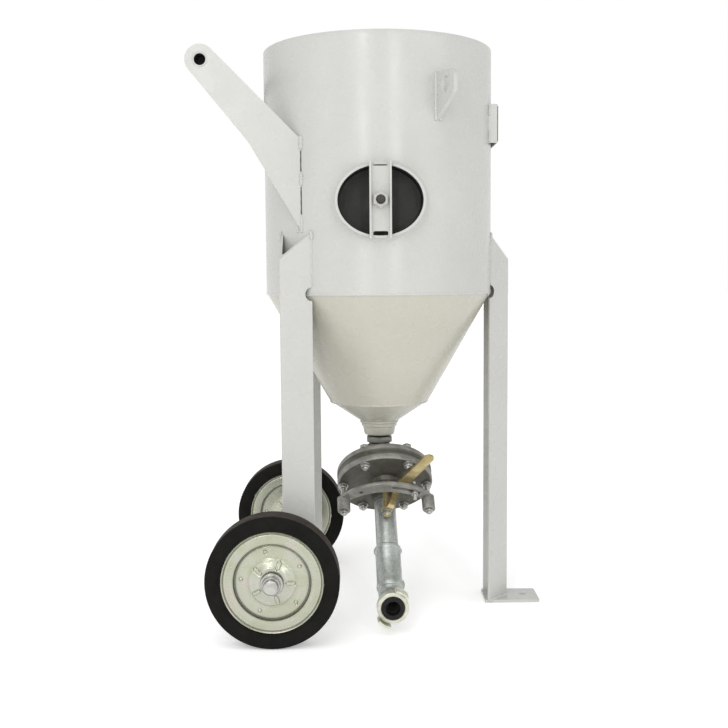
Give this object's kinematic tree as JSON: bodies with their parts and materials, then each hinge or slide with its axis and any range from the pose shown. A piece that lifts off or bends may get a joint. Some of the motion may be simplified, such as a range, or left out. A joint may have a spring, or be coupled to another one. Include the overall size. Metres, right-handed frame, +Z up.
{
  "type": "portable abrasive blast pot",
  "caption": "Wheeled pressure pot for abrasive blasting: cylinder on a cone, angle-iron legs, tipping handle, handhole, pop-up filling valve and a lever-worked metering valve.",
  "frame": {"origin": "on the floor under the middle of the overall box", "axes": "+Z up, +X towards the front foot, wheels at -X on a cross axle along Y, handhole facing -Y"},
  "size_m": [0.66, 0.621, 1.0722],
  "materials": {
    "paint": "warm light grey powder coat",
    "cover": "black",
    "rubber": "matt black",
    "tyre": "solid black rubber",
    "zinc_disc": "pale passivated zinc",
    "steel": "bright zinc",
    "cast": "cast grey metal",
    "galvanised": "galvanised",
    "yellow_zinc": "yellow passivated zinc",
    "pale_zinc": "pale zinc casting",
    "plate": "dark blank plate"
  },
  "bodies": {
    "pot": {"vessel_shell": "paint", "top_head": "paint", "seat_ring": "steel", "seat_seal": "rubber", "air_standpipe": "steel", "air_inlet_socket": "paint", "main_cone": "paint", "lower_cone": "paint", "outlet_socket": "paint", "handhole_ring": "paint", "handhole_gasket": "rubber", "handhole_cover": "cover", "handhole_bridge": "paint", "handhole_stud": "steel", "handhole_nut": "paint", "lifting_lug_near": "paint", "lifting_lug_far": "paint", "rating_bracket": "paint", "rating_plate": "plate", "handle_arm_near": "paint", "handle_arm_far": "paint", "handle_bar": "paint", "leg_front": "paint", "leg_rear_near": "paint", "leg_rear_far": "paint", "foot_plate": "paint", "axle": "steel", "axle_collar_near": "steel", "axle_collar_far": "steel", "nipple": "steel", "lock_nut": "cast", "valve_rear_body": "cast", "valve_gasket": "rubber", "valve_front_body": "cast", "flange_bolt_60": "steel", "flange_bolt_120": "steel", "flange_bolt_240": "steel", "flange_bolt_300": "steel", "bracket_stud_left": "steel", "bracket_stud_right": "steel", "quadrant_bracket": "cast", "stop_bolt": "steel", "outlet_pipe": "galvanised", "outlet_elbow": "galvanised", "hose_coupling": "pale_zinc", "coupling_gasket": "rubber"},
    "wheel_near": {"tyre_near": "tyre", "wheel_disc_outer_near": "zinc_disc", "wheel_disc_inner_near": "zinc_disc", "wheel_hub_near": "zinc_disc"},
    "wheel_far": {"tyre_far": "tyre", "wheel_disc_outer_far": "zinc_disc", "wheel_disc_inner_far": "zinc_disc", "wheel_hub_far": "zinc_disc"},
    "plug": {"popup_plug": "rubber"},
    "metering": {"metering_disc": "steel", "spindle": "yellow_zinc", "spindle_nut": "steel", "lever": "yellow_zinc"}
  },
  "joints": [
    {"name": "wheel_near_spin", "type": "hinge", "parent": "pot", "child": "wheel_near", "pos_m": [-0.17935, -0.26141, 0.11793], "axis": [0, 1, 0], "continuous": true},
    {"name": "wheel_far_spin", "type": "hinge", "parent": "pot", "child": "wheel_far", "pos_m": [-0.17935, 0.26141, 0.11793], "axis": [0, 1, 0], "continuous": true},
    {"name": "plug_lift", "type": "slide", "parent": "pot", "child": "plug", "axis": [0, 0, 1], "range_m": [0, 0.0216]},
    {"name": "lever_turn", "type": "hinge", "parent": "pot", "child": "metering", "pos_m": [0.02427, -0.0344, 0.23831], "axis": [0.0308, -0.7064, -0.7071], "range_deg": [-5, 90]}
  ]
}
